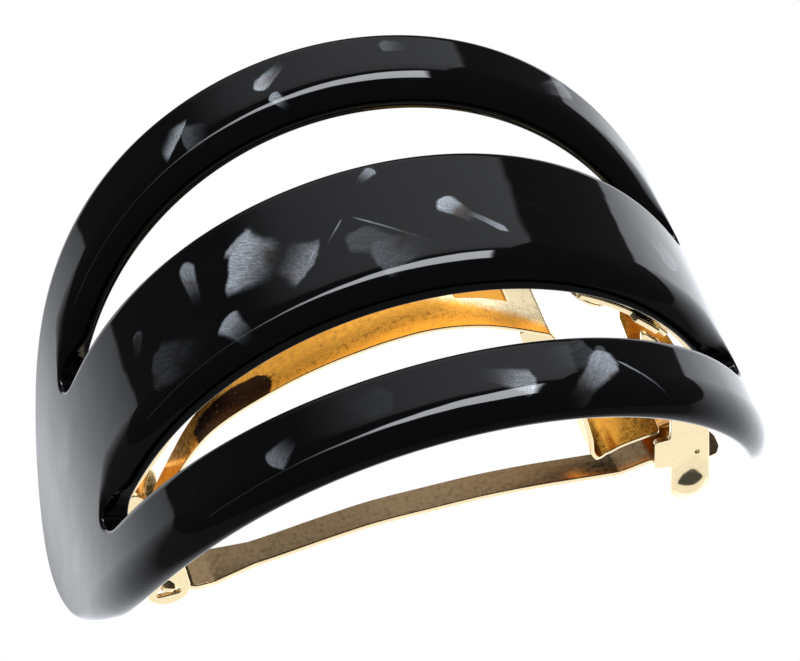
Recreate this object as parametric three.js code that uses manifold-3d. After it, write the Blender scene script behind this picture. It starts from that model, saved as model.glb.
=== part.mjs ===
// Arched hair barrette: a bent acetate plate with two slots, worn over a brass French clip.
// Millimetres. X runs along the barrette from hinge (-X) to catch (+X), Y across it, Z up.
// The origin is on the underside of the swing bar, at the middle of the barrette.
import * as THREE from 'three';
import { mergeVertices } from 'three/addons/utils/BufferGeometryUtils.js';
import Module from 'manifold-3d';

const wasm = await Module();
wasm.setup();

// ---- driving dimensions ----
const CLEARANCE = 0.3;          // gap kept between touching pieces

const CROWN_TOP = 56;           // height of the plate's outer face at its crown
const BLANK_HALF_LENGTH = 79;   // flat acetate blank before bending, an ellipse
const BLANK_HALF_WIDTH = 34.6;
const PLATE_THICKNESS = 3.9;
const BEND_LENGTH = 62.5;       // arc length that the bend law is scaled to
const BEND_CROWN = 1.315;       // slope gained over BEND_LENGTH at the crown's curvature, radians
const BEND_SHOULDER = 0.262;    // extra bend at the shoulders
const BEND_TIP = 0.288;         // bend taken away towards the straight tips

const SLOT_HALF_LENGTH = 55.4;
const SLOT_END_ROUND = 3;       // length over which a slot closes to its tip
const SLOT_MIDDLE_Y = 17.4;     // slot centre line at the crown
const SLOT_TIP_Y = 12.2;        // slot centre line at its tips
const SLOT_HALF_WIDTH = 6.5;
const SLOT_TIP_HALF_WIDTH = 2.3;

const SHEET = 0.8;              // brass sheet of the base, bow and catch
const CLIP_HALF_WIDTH = 4.4;    // base plate
const BASE_DEPTH_MIDDLE = 7.9;  // base plate's upper face below the plate's outer face
const BASE_LEFT_END = -77;
const BASE_RIGHT_END = 77;
const BASE_LEFT_TOUCH = -73;    // arc positions where the base plate comes to lie on the plate
const BASE_RIGHT_TOUCH = 63;
const BASE_LEFT_LEAVE = -46;
const BASE_RIGHT_LEAVE = 24;

const RIVET_SHANK_RADIUS = 1;
const RIVET_HEAD_RADIUS = 2.2;
const RIVET_HEAD_HEIGHT = 0.8;
const RIVET_DEPTH = 2.2;        // how far a shank is sunk in the acetate
const RIVET_SITES = { rivet_left: -74.2, rivet_right: 74.2 };

const PIVOT_X = -34.5;          // swing bar's hinge axis
const PIVOT_Z = 0.4;
const PIVOT_HOLE_RADIUS = 1.5;
const EAR_RADIUS = 3.1;
const EAR_TOP_Z = 15.4;
const EAR_INNER_Y = CLIP_HALF_WIDTH - SHEET;

const BOW_AXIS_X = -35.2;       // bow spring's own hinge, higher in the ears
const BOW_AXIS_Z = 7.6;
const BOW_LUG_RADIUS = 0.8;

const BAR_THICKNESS = 0.9;
const BAR_HALF_WIDTH = 2;
const BAR_HEAD_HALF_WIDTH = 3.3;
const BAR_TONGUE_HALF_WIDTH = 3;

const BOW_HALF_WIDTH = 4.5;
const BOW_THICKNESS = 0.6;
const BOW_NECK_HALF_WIDTH = 1.9;
const BOW_FOOT_HALF_WIDTH = 3.6;

const ARM_INNER_Y = 4.5;        // catch arms stand outside the bar and the bow's foot
const ARM_OUTER_Y = ARM_INNER_Y + SHEET;
const PAD_X = 39.1;             // finger pad at the foot of each arm
const PAD_Z = -4;
const PAD_RADIUS = 2.8;
const DOME_RADIUS = 2.6;        // domed button pressed out of the pad
const DOME_HEIGHT = 1.1;
const SNAP_LUG = { x: 32.7, z: 20.6, radius: 0.8, reach: 0.6 };

const CATCH_RIVET_ARC = 36;
const CATCH_RIVET_SHANK = 1.6;
const CATCH_RIVET_HEAD = 3.6;
const CATCH_RIVET_BOW = 0.2;    // room under the flat head for the saddle's curve
const SADDLE_FROM = 32;         // arc positions of the saddle's ends
const SADDLE_TO = 52;
const SADDLE_HALF_WIDTH = 4.3;  // between its lugs, just inside the base plate's edge
const SADDLE_LUG = [31.5, 34.5]; // X range where it reaches out to carry the arms

// ---- the bend: slope, place and normal of the plate along its arc ----
function slopeAt(arc) {
  const v = arc / BEND_LENGTH;
  return BEND_CROWN * v + BEND_SHOULDER * v ** 3 - BEND_TIP * v ** 5;
}

// Point at a depth below the plate's outer face, at an arc length from the crown.
function archPoint(arc, depth) {
  const steps = 60;
  const step = arc / steps;
  let x = 0;
  let z = CROWN_TOP;
  for (let i = 0; i < steps; i += 1) {
    const slope = slopeAt((i + 0.5) * step);
    x += Math.cos(slope) * step;
    z -= Math.sin(slope) * step;
  }
  const slope = slopeAt(arc);
  return new THREE.Vector2(x - depth * Math.sin(slope), z - depth * Math.cos(slope));
}

// ---- solids ----
function toSolid(geometry) {
  const bare = geometry.index ? geometry.toNonIndexed() : geometry.clone();
  bare.deleteAttribute('normal');
  bare.deleteAttribute('uv');
  const merged = mergeVertices(bare, 1e-4);
  const mesh = new wasm.Mesh({
    numProp: 3,
    vertProperties: new Float32Array(merged.attributes.position.array),
    triVerts: new Uint32Array(merged.index.array),
  });
  return new wasm.Manifold(mesh);
}

function toGeometry(solid) {
  const mesh = solid.getMesh();
  const geometry = new THREE.BufferGeometry();
  geometry.setAttribute('position', new THREE.BufferAttribute(new Float32Array(mesh.vertProperties), 3));
  geometry.setIndex(new THREE.BufferAttribute(new Uint32Array(mesh.triVerts), 1));
  geometry.computeVertexNormals();
  return geometry;
}

// Closed solid between two edge lines of the flat blank, bent with the arch.
function bentSolid(stations, lowEdge, highEdge, topDepth, bottomDepth) {
  const positions = [];
  const index = [];
  for (const arc of stations) {
    const top = archPoint(arc, topDepth);
    const bottom = archPoint(arc, bottomDepth);
    const low = lowEdge(arc);
    const high = highEdge(arc);
    positions.push(top.x, low, top.y, top.x, high, top.y);
    positions.push(bottom.x, high, bottom.y, bottom.x, low, bottom.y);
  }
  for (let i = 0; i < stations.length - 1; i += 1) {
    for (let k = 0; k < 4; k += 1) {
      const a = 4 * i + k;
      const b = 4 * i + (k + 1) % 4;
      index.push(a, a + 4, b, b, a + 4, b + 4);
    }
  }
  const last = 4 * (stations.length - 1);
  index.push(0, 1, 2, 0, 2, 3);
  index.push(last, last + 2, last + 1, last, last + 3, last + 2);
  const geometry = new THREE.BufferGeometry();
  geometry.setAttribute('position', new THREE.Float32BufferAttribute(positions, 3));
  geometry.setIndex(index);
  return toSolid(geometry);
}

// Side view outline (X, Z), given thickness along Y between two values.
function sideSolid(outline, lowY, highY) {
  const shape = outline instanceof THREE.Shape ? outline : new THREE.Shape(outline);
  const settings = { depth: highY - lowY, bevelEnabled: false, curveSegments: 16 };
  const geometry = new THREE.ExtrudeGeometry(shape, settings);
  geometry.rotateX(Math.PI / 2);
  geometry.translate(0, highY, 0);
  return toSolid(geometry);
}

// Plan view outline (X, Y), given thickness along Z between two values.
function planSolid(outline, lowZ, highZ) {
  const settings = { depth: highZ - lowZ, bevelEnabled: false };
  const geometry = new THREE.ExtrudeGeometry(new THREE.Shape(outline), settings);
  geometry.translate(0, 0, lowZ);
  return toSolid(geometry);
}

// Round bar along Y.
function crossBar(x, z, radius, lowY, highY) {
  const geometry = new THREE.CylinderGeometry(radius, radius, highY - lowY, 20);
  geometry.translate(x, (lowY + highY) / 2, z);
  return toSolid(geometry);
}

function boxSolid(low, high) {
  const geometry = new THREE.BoxGeometry(high[0] - low[0], high[1] - low[1], high[2] - low[2]);
  geometry.translate((low[0] + high[0]) / 2, (low[1] + high[1]) / 2, (low[2] + high[2]) / 2);
  return toSolid(geometry);
}

// Even strip of sheet in side view, along a centre line of points.
function ribbonOutline(centre, thickness) {
  const upper = [];
  const lower = [];
  for (let i = 0; i < centre.length; i += 1) {
    const before = centre[Math.max(i - 1, 0)];
    const after = centre[Math.min(i + 1, centre.length - 1)];
    const along = after.clone().sub(before).normalize();
    const normal = new THREE.Vector2(-along.y, along.x).multiplyScalar(thickness / 2);
    upper.push(centre[i].clone().add(normal));
    lower.push(centre[i].clone().sub(normal));
  }
  return [...lower, ...upper.reverse()];
}

function smoothLine(points, divisions) {
  return new THREE.SplineCurve(points.map(([x, z]) => new THREE.Vector2(x, z))).getPoints(divisions);
}

function evenStations(from, to, count) {
  return Array.from({ length: count + 1 }, (_, i) => from + (to - from) * i / count);
}

// Stations that crowd towards both ends, for outlines that close in a round.
function roundStations(halfLength, count) {
  return Array.from({ length: count + 1 }, (_, i) => -halfLength * Math.cos(Math.PI * i / count));
}

// ---- acetate plate ----
function blankHalfWidth(arc) {
  const tipHalfWidth = 0.8;
  const share = Math.max(0, 1 - (arc / BLANK_HALF_LENGTH) ** 2);
  return Math.max(tipHalfWidth, BLANK_HALF_WIDTH * Math.sqrt(share));
}

function slotEdges(arc) {
  const u = Math.min(1, Math.abs(arc) / SLOT_HALF_LENGTH);
  const middle = SLOT_MIDDLE_Y + (SLOT_TIP_Y - SLOT_MIDDLE_Y) * u ** 2;
  const open = SLOT_HALF_WIDTH + (SLOT_TIP_HALF_WIDTH - SLOT_HALF_WIDTH) * u ** 2;
  const intoEnd = Math.max(0, Math.abs(arc) - (SLOT_HALF_LENGTH - SLOT_END_ROUND)) / SLOT_END_ROUND;
  const half = open * Math.sqrt(Math.max(0.0004, 1 - intoEnd ** 2));
  return { low: middle - half, high: middle + half };
}

function slotCutter(side) {
  const overshoot = 1.5;
  const straight = SLOT_HALF_LENGTH - SLOT_END_ROUND;
  const roundSteps = 6;
  const stations = evenStations(-straight, straight, 52);
  for (let i = 1; i <= roundSteps; i += 1) {
    const reach = straight + SLOT_END_ROUND * Math.sin(Math.PI / 2 * i / roundSteps);
    stations.push(reach);
    stations.unshift(-reach);
  }
  const low = (arc) => (side > 0 ? slotEdges(arc).low : -slotEdges(arc).high);
  const high = (arc) => (side > 0 ? slotEdges(arc).high : -slotEdges(arc).low);
  return bentSolid(stations, low, high, -overshoot, PLATE_THICKNESS + overshoot);
}

// Cylinder square to the plate at an arc position, or at a tilt to it, between two depths.
function squareCylinder(arc, radius, topDepth, bottomDepth, segments, tilt = 0) {
  const geometry = new THREE.CylinderGeometry(radius, radius, bottomDepth - topDepth, segments);
  geometry.rotateX(Math.PI / 2);
  geometry.rotateY(slopeAt(arc) + tilt);
  const middle = archPoint(arc, (topDepth + bottomDepth) / 2);
  geometry.translate(middle.x, 0, middle.y);
  return toSolid(geometry);
}

function platePiece() {
  const stations = roundStations(BLANK_HALF_LENGTH, 84);
  const blank = bentSolid(stations, (arc) => -blankHalfWidth(arc), blankHalfWidth, 0, PLATE_THICKNESS);
  let plate = blank.subtract(slotCutter(1)).subtract(slotCutter(-1));
  for (const arc of Object.values(RIVET_SITES)) {
    const holeTop = PLATE_THICKNESS - RIVET_DEPTH - CLEARANCE;
    const hole = squareCylinder(arc, RIVET_SHANK_RADIUS + CLEARANCE, holeTop, PLATE_THICKNESS + 1, 20);
    plate = plate.subtract(hole);
  }
  return plate;
}

// ---- base plate with its two hinge ears ----
const BASE_DEPTH_TOUCH = PLATE_THICKNESS + CLEARANCE;

function baseDepth(arc) {
  const leave = arc < 0 ? BASE_LEFT_LEAVE : BASE_RIGHT_LEAVE;
  const touch = arc < 0 ? BASE_LEFT_TOUCH : BASE_RIGHT_TOUCH;
  const along = THREE.MathUtils.clamp((arc - leave) / (touch - leave), 0, 1);
  return THREE.MathUtils.lerp(BASE_DEPTH_MIDDLE, BASE_DEPTH_TOUCH, THREE.MathUtils.smoothstep(along, 0, 1));
}

// Angle between the base plate and the acetate above it.
function baseTilt(arc) {
  const ahead = archPoint(arc + 0.5, baseDepth(arc + 0.5));
  const behind = archPoint(arc - 0.5, baseDepth(arc - 0.5));
  return Math.atan2(behind.y - ahead.y, ahead.x - behind.x) - slopeAt(arc);
}

function baseStrip() {
  const stations = evenStations(BASE_LEFT_END, BASE_RIGHT_END, 76);
  const top = stations.map((arc) => archPoint(arc, baseDepth(arc)));
  const bottom = stations.map((arc) => archPoint(arc, baseDepth(arc) + SHEET));
  return sideSolid([...bottom, ...top.reverse()], -CLIP_HALF_WIDTH, CLIP_HALF_WIDTH);
}

// Rounded end of the strip: everything past the tab's circle is cut away.
function tabEndCutter(endArc) {
  const inward = Math.sign(endArc);
  const centreArc = endArc - inward * CLIP_HALF_WIDTH;
  const outer = BASE_DEPTH_TOUCH + SHEET + 1;
  const beyond = bentSolid(
    evenStations(centreArc, centreArc + inward * (CLIP_HALF_WIDTH + 2), 3).sort((a, b) => a - b),
    () => -CLIP_HALF_WIDTH - 1,
    () => CLIP_HALF_WIDTH + 1,
    BASE_DEPTH_TOUCH - 0.2,
    outer,
  );
  return beyond.subtract(squareCylinder(centreArc, CLIP_HALF_WIDTH, BASE_DEPTH_TOUCH - 1, outer + 1, 32));
}

function earOutline() {
  const outline = new THREE.Shape();
  const root = archPoint(-69, BASE_DEPTH_TOUCH + SHEET / 2);
  const crest = archPoint(-58, baseDepth(-58) + SHEET / 2);
  outline.moveTo(root.x, root.y);
  outline.lineTo(PIVOT_X - EAR_RADIUS, PIVOT_Z);
  outline.absarc(PIVOT_X, PIVOT_Z, EAR_RADIUS, Math.PI, 2 * Math.PI, false);
  outline.lineTo(-33.1, EAR_TOP_Z);
  outline.lineTo(crest.x, crest.y);
  return outline;
}

// Rounded triangular hole, wide enough for the bar's flat lug to turn in.
function pivotHoleOutline() {
  const outline = new THREE.Shape();
  const corner = 0.55;
  const reach = PIVOT_HOLE_RADIUS + 0.45;
  for (let i = 0; i < 3; i += 1) {
    const angle = Math.PI / 2 + i * 2 * Math.PI / 3;
    const x = PIVOT_X + (reach - corner) * Math.cos(angle);
    const z = PIVOT_Z + (reach - corner) * Math.sin(angle);
    outline.absarc(x, z, corner + 0.75, angle - Math.PI / 3, angle + Math.PI / 3, false);
  }
  return outline;
}

function basePiece() {
  let base = baseStrip().subtract(tabEndCutter(BASE_LEFT_END)).subtract(tabEndCutter(BASE_RIGHT_END));
  for (const side of [-1, 1]) {
    const low = Math.min(side * EAR_INNER_Y, side * CLIP_HALF_WIDTH);
    const high = Math.max(side * EAR_INNER_Y, side * CLIP_HALF_WIDTH);
    base = base.add(sideSolid(earOutline(), low, high));
    base = base.subtract(sideSolid(pivotHoleOutline(), low - 1, high + 1));
    base = base.subtract(crossBar(BOW_AXIS_X, BOW_AXIS_Z, BOW_LUG_RADIUS + CLEARANCE, low - 1, high + 1));
  }
  for (const arc of Object.values(RIVET_SITES)) {
    const through = [BASE_DEPTH_TOUCH - 1, BASE_DEPTH_TOUCH + 2];
    base = base.subtract(squareCylinder(arc, RIVET_SHANK_RADIUS + CLEARANCE, ...through, 20));
  }
  return base.subtract(catchRivetHole());
}

// ---- rivets that hold the base plate to the acetate ----
function rivetPiece(arc) {
  const headTop = BASE_DEPTH_TOUCH + SHEET + CLEARANCE;
  const shank = squareCylinder(arc, RIVET_SHANK_RADIUS, PLATE_THICKNESS - RIVET_DEPTH, headTop + 0.1, 20);
  return shank.add(squareCylinder(arc, RIVET_HEAD_RADIUS, headTop, headTop + RIVET_HEAD_HEIGHT, 28));
}

// ---- swing bar ----
function barPiece() {
  const flat = BAR_THICKNESS / 2;
  const head = smoothLine([[-35.4, 0.6], [-33.6, -0.3], [-31, -1.9]], 6);
  const nearSide = smoothLine([[-28, -2.5], [-20, -1.7], [-12, -0.5], [-6, 0.25], [-2, flat]], 18);
  const farSide = smoothLine([[8, flat], [12, 0.3], [18, -0.2], [24, -0.95], [29.8, -1.7]], 16);
  const tongue = smoothLine([[31.2, -1.5], [33.5, -1], [36.4, -0.6], [40, -1], [44.6, -2.6]], 10);
  const profile = ribbonOutline([...head, ...nearSide, ...farSide, ...tongue], BAR_THICKNESS);
  const wide = sideSolid(profile, -BAR_HEAD_HALF_WIDTH, BAR_HEAD_HALF_WIDTH);
  const plan = [];
  const edge = [
    [-36, BAR_HEAD_HALF_WIDTH], [-30, BAR_HEAD_HALF_WIDTH], [-26.5, 2.7], [-22, BAR_HALF_WIDTH],
    [34.6, BAR_HALF_WIDTH], [35.2, BAR_TONGUE_HALF_WIDTH], [42.6, BAR_TONGUE_HALF_WIDTH],
    [43.8, 2.4], [44.6, 1],
  ];
  for (const [x, y] of edge) {
    plan.push(new THREE.Vector2(x, -y));
  }
  for (const [x, y] of [...edge].reverse()) {
    plan.push(new THREE.Vector2(x, y));
  }
  const lug = boxSolid(
    [PIVOT_X - 0.9, -CLIP_HALF_WIDTH, PIVOT_Z - 0.5],
    [PIVOT_X + 0.9, CLIP_HALF_WIDTH, PIVOT_Z + 0.4],
  );
  return wide.intersect(planSolid(plan, -8, 8)).add(lug);
}

// ---- bow spring: a tapered leaf that arches under the base and stands on the bar ----
function bowPiece() {
  const arch = smoothLine([
    [BOW_AXIS_X, BOW_AXIS_Z], [-34.2, 12], [-32.6, 16], [-28.4, 24], [-23.7, 29.1], [-14.8, 34.3],
    [-6.2, 37.6], [2.3, 39], [10.8, 37.4], [19.5, 32.8],
  ], 44);
  const drop = smoothLine([[20.4, 31], [22.2, 24], [24.2, 15], [25.2, 9.6]], 12);
  const foot = smoothLine([[25.3, 7], [26.2, 5.4], [27.8, 5.2], [29.6, 5.9], [32, 6.4], [35.2, 6.9]], 20);
  const profile = ribbonOutline([...arch, ...drop, ...foot], BOW_THICKNESS);
  const leaf = sideSolid(profile, -BOW_HALF_WIDTH, BOW_HALF_WIDTH);
  const edge = [
    [-38, BOW_NECK_HALF_WIDTH], [-30, BOW_NECK_HALF_WIDTH], [-14.8, 3.3], [-6.2, 4.1], [0, BOW_HALF_WIDTH],
    [26, BOW_HALF_WIDTH], [27.5, BOW_FOOT_HALF_WIDTH], [38, BOW_FOOT_HALF_WIDTH],
  ];
  const plan = edge.map(([x, y]) => new THREE.Vector2(x, -y));
  plan.push(...[...edge].reverse().map(([x, y]) => new THREE.Vector2(x, y)));
  let bow = leaf.intersect(planSolid(plan, -10, 60));
  bow = bow.subtract(boxSolid([8.3, 0.7, 30], [15.3, 3.3, 44]));
  bow = bow.add(crossBar(BOW_AXIS_X, BOW_AXIS_Z, BOW_LUG_RADIUS, -CLIP_HALF_WIDTH, CLIP_HALF_WIDTH));
  const knee = [[19.6, 32.6], [20.3, 31.2], [19.2, 29.6]];
  bow = bow.add(flange(-1, [[15.4, 35.1], ...knee, [16, 31.6]]));
  const underWindow = [[16, 30.6], [10.5, 32.8], [7, 35], [6, 38.4], [10.8, 37.2], [15.4, 35.1]];
  bow = bow.add(flange(1, [...knee, ...underWindow]));
  return bow;
}

// Folded-down stiffening flange on an edge of the bow: short at the front, under the window at the rear.
function flange(side, outline) {
  const low = Math.min(side * BOW_HALF_WIDTH, side * (BOW_HALF_WIDTH - BOW_THICKNESS));
  const high = Math.max(side * BOW_HALF_WIDTH, side * (BOW_HALF_WIDTH - BOW_THICKNESS));
  return sideSolid(outline.map(([x, z]) => new THREE.Vector2(x, z)), low, high);
}

// ---- catch: saddle riveted under the base plate, and two springy arms ----
function saddlePiece() {
  const under = (arc) => baseDepth(arc) + SHEET + CLEARANCE;
  const stations = evenStations(SADDLE_FROM, SADDLE_TO, 10);
  const top = stations.map((arc) => archPoint(arc, under(arc)));
  const bottom = stations.map((arc) => archPoint(arc, under(arc) + SHEET));
  const plate = sideSolid([...bottom, ...top.reverse()], -ARM_OUTER_Y, ARM_OUTER_Y);
  const [from, to] = SADDLE_LUG;
  const edge = [
    [15, SADDLE_HALF_WIDTH], [from - 0.5, SADDLE_HALF_WIDTH], [from, ARM_OUTER_Y + 1],
    [to, ARM_OUTER_Y + 1], [to + 0.5, SADDLE_HALF_WIDTH], [50, SADDLE_HALF_WIDTH],
  ];
  const plan = edge.map(([x, y]) => new THREE.Vector2(x, -y));
  plan.push(...[...edge].reverse().map(([x, y]) => new THREE.Vector2(x, y)));
  return plate.intersect(planSolid(plan, -10, 60)).subtract(catchRivetHole());
}

function catchRivetHole() {
  const through = [PLATE_THICKNESS, BASE_DEPTH_MIDDLE + 3];
  const radius = CATCH_RIVET_SHANK + CLEARANCE;
  return squareCylinder(CATCH_RIVET_ARC, radius, ...through, 20, baseTilt(CATCH_RIVET_ARC));
}

function catchRivetPiece() {
  const tilt = baseTilt(CATCH_RIVET_ARC);
  const disc = (radius, top, bottom) => squareCylinder(CATCH_RIVET_ARC, radius, top, bottom, 32, tilt);
  const clenchBottom = baseDepth(CATCH_RIVET_ARC) - CLEARANCE - 0.1;
  const headTop = baseDepth(CATCH_RIVET_ARC) + 2 * SHEET + 2 * CLEARANCE + CATCH_RIVET_BOW;
  const shank = disc(CATCH_RIVET_SHANK, clenchBottom - 0.1, headTop + 0.1);
  const head = disc(CATCH_RIVET_HEAD, headTop, headTop + 0.7);
  const clench = disc(CATCH_RIVET_SHANK + 0.8, clenchBottom - 0.6, clenchBottom);
  return shank.add(head).add(clench);
}

function armOutline() {
  const outline = new THREE.Shape();
  outline.moveTo(31.9, 30.2);
  outline.lineTo(32.1, 22.4);
  outline.lineTo(33.2, 18);
  outline.lineTo(36.2, 11.4);
  outline.lineTo(36.2, 6.9);
  outline.lineTo(34.6, 6.9);
  outline.quadraticCurveTo(33.9, 6.9, 33.9, 6.2);
  outline.lineTo(33.9, 2.6);
  outline.quadraticCurveTo(34.2, 1, PAD_X - PAD_RADIUS, 1);
  outline.lineTo(PAD_X - PAD_RADIUS, PAD_Z);
  outline.absarc(PAD_X, PAD_Z, PAD_RADIUS, Math.PI, 2 * Math.PI, false);
  outline.lineTo(41.6, 10);
  outline.lineTo(37.6, 20);
  outline.lineTo(35.5, 25.3);
  outline.lineTo(34.1, 27.5);
  return outline;
}

// The two values in order, mirrored to the given side.
function sided(side, near, far) {
  return [Math.min(side * near, side * far), Math.max(side * near, side * far)];
}

function armPiece(side) {
  const [low, high] = sided(side, ARM_INNER_Y, ARM_OUTER_Y);
  const domeSphere = (DOME_RADIUS ** 2 + DOME_HEIGHT ** 2) / (2 * DOME_HEIGHT);
  const ball = (radius) => {
    const sphere = new THREE.SphereGeometry(radius, 32, 24);
    sphere.translate(PAD_X, side * (ARM_OUTER_Y + DOME_HEIGHT - domeSphere), PAD_Z);
    return toSolid(sphere);
  };
  const [outsideLow, outsideHigh] = sided(side, ARM_INNER_Y, ARM_OUTER_Y + 2);
  const outside = boxSolid([30, outsideLow, -9], [44, outsideHigh, 6]);
  let arm = sideSolid(armOutline(), low, high).add(ball(domeSphere).intersect(outside));
  arm = arm.subtract(ball(domeSphere - SHEET));
  arm = arm.subtract(crossBar(40, 3, 0.35, low - 1, high + 1));
  const lugSpan = sided(side, ARM_INNER_Y - SNAP_LUG.reach, ARM_INNER_Y + 0.1);
  return arm.add(crossBar(SNAP_LUG.x, SNAP_LUG.z, SNAP_LUG.radius, ...lugSpan));
}

// ---- assembly ----
function brass(colour, roughness) {
  return new THREE.MeshStandardMaterial({ color: colour, roughness, metalness: 1 });
}

const acetate = new THREE.MeshStandardMaterial({ color: 0x0d0d10, roughness: 0.12, metalness: 0 });
const pieces = {
  plate: [platePiece(), acetate],
  base_plate: [basePiece(), brass(0xd9a441, 0.2)],
  rivet_left: [rivetPiece(RIVET_SITES.rivet_left), brass(0xc9953a, 0.25)],
  rivet_right: [rivetPiece(RIVET_SITES.rivet_right), brass(0xc9953a, 0.25)],
  swing_bar: [barPiece(), brass(0xc99a4a, 0.3)],
  bow_spring: [bowPiece(), brass(0xe0a83c, 0.18)],
  catch_saddle: [saddlePiece(), brass(0xd6a040, 0.22)],
  catch_rivet: [catchRivetPiece(), brass(0xe2bd6a, 0.22)],
  catch_arm_front: [armPiece(-1), brass(0xe6c887, 0.2)],
  catch_arm_rear: [armPiece(1), brass(0xe6c887, 0.2)],
};

const barrette = new THREE.Group();
barrette.name = 'barrette';
for (const [name, [solid, material]] of Object.entries(pieces)) {
  const mesh = new THREE.Mesh(toGeometry(solid), material);
  mesh.name = name;
  barrette.add(mesh);
}

export default barrette;
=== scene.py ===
"""Arched hair barrette: a bent acetate plate with two slots, on a gold French clip.

The part's and the camera's lengths are in millimetres in the part's own frame (X from hinge to catch,
Y across, Z up); those of the floor, the cards and the bumps are in metres. A sheet piece is a flat blank
with an outline, holes, a thickness and rounded edges, placed by a bend. Rivets and the bow's pin are turned.
"""

import math

import bpy
import numpy as np
from mathutils import Matrix, Vector
from mathutils.geometry import delaunay_2d_cdt
from mathutils.kdtree import KDTree

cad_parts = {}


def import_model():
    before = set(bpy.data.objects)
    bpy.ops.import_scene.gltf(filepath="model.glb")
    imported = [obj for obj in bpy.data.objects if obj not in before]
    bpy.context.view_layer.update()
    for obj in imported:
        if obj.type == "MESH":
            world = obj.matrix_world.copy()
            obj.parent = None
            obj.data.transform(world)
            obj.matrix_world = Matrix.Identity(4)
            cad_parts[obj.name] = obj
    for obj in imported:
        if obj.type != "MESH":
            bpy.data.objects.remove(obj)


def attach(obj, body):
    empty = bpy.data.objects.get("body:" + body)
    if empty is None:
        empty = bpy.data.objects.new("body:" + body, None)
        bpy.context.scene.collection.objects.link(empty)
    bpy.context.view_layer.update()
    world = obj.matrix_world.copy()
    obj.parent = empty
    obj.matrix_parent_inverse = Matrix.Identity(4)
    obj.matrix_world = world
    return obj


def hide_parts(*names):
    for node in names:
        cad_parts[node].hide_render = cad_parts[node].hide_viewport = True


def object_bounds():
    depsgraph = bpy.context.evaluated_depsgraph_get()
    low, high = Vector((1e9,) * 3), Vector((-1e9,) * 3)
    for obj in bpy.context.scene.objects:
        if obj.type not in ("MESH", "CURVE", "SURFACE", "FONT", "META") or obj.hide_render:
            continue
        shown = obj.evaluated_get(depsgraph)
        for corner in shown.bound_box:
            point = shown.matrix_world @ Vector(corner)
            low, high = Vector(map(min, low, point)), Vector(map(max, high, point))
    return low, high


MM = 0.001

# ---- sizes shared with the CAD ----
CLEARANCE = 0.3
CROWN_TOP = 56
BLANK_HALF_LENGTH = 79
BLANK_HALF_WIDTH = 34.6
PLATE_THICKNESS = 3.9
BEND_LENGTH = 62.5
BEND_CROWN = 1.315
BEND_SHOULDER = 0.262
BEND_TIP = 0.288
SLOT_HALF_LENGTH = 55.4
SLOT_END_ROUND = 3
SLOT_MIDDLE_Y = 17.4
SLOT_TIP_Y = 12.2
SLOT_HALF_WIDTH = 6.5
SLOT_TIP_HALF_WIDTH = 2.3

SHEET = 0.8
CLIP_HALF_WIDTH = 4.4
BASE_DEPTH_MIDDLE = 7.9
BASE_DEPTH_TOUCH = PLATE_THICKNESS + CLEARANCE
BASE_END = 77
BASE_LEFT = (-73, -46)
BASE_RIGHT = (63, 24)
RIVET_SITES = {"rivet_left": -74.2, "rivet_right": 74.2}
RIVET_SHANK_RADIUS = 1.0
RIVET_SHANK_BURIED = 1.6
RIVET_HEAD_RADIUS = 2.2
RIVET_HEAD_HEIGHT = 0.8

PIVOT = (-34.5, 0.4)
EAR_RADIUS = 3.1
EAR_ARCS = (-69, -58)
EAR_FRONT_TOP = (-33.1, 15.4)
BOW_AXIS = (-35.2, 7.6)
BOW_LUG_RADIUS = 0.8
BAR_THICKNESS = 0.9
BAR_LUG_HALF_WIDTH = 4.3
BAR_HEAD_HALF_WIDTH = 3.3
BAR_HALF_WIDTH = 2
BAR_TONGUE_HALF_WIDTH = 3
BOW_THICKNESS = 0.6
BOW_HALF_WIDTH = 4.5
BOW_NECK_HALF_WIDTH = 1.9
BOW_FOOT_HALF_WIDTH = 3.6
BOW_WINDOW_X = (8.3, 15.3)
BOW_WINDOW_Y = (0.7, 3.3)

ARM_INNER_Y = 4.5
ARM_OUTER_Y = ARM_INNER_Y + SHEET
SADDLE_FROM = 32
SADDLE_TO = 52
SADDLE_HALF_WIDTH = 4.3
SADDLE_LUG = (31.5, 34.5)
CATCH_RIVET_ARC = 36
CATCH_RIVET_SHANK = 1.6
CATCH_RIVET_HEAD = 3.6
CATCH_RIVET_HEAD_HEIGHT = 0.7
CATCH_RIVET_CLENCH = 2.4
CATCH_RIVET_CLENCH_SPAN = (-0.9, -0.4)
CATCH_RIVET_BOW = 0.2
PAD_CENTRE = (39.1, -4.0)
PAD_RADIUS = 2.8
DOME_RADIUS = 2.6
DOME_HEIGHT = 1.1
ARM_HOLE = (40, 3, 0.35)

# ---- edges: width and depth of the plate's upper rounds, where they change, and radii ----
SLOT_ARRIS = 0.3
OUTER_ARRIS = 0.8
FRONT_ROUND_WIDTH = 4.7
REAR_ROUND = (1.1, 0.45)
TIP_ROUND = (0.6, 0.45)
SLOT_TIP_ZONE = (49, 55)
PLATE_TIP_ZONE = (62, 76)
FRONT_FACING_ZONE = (-0.25, 0.65)
METAL_EDGE = 0.16
BAR_EDGE = 0.2

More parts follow.
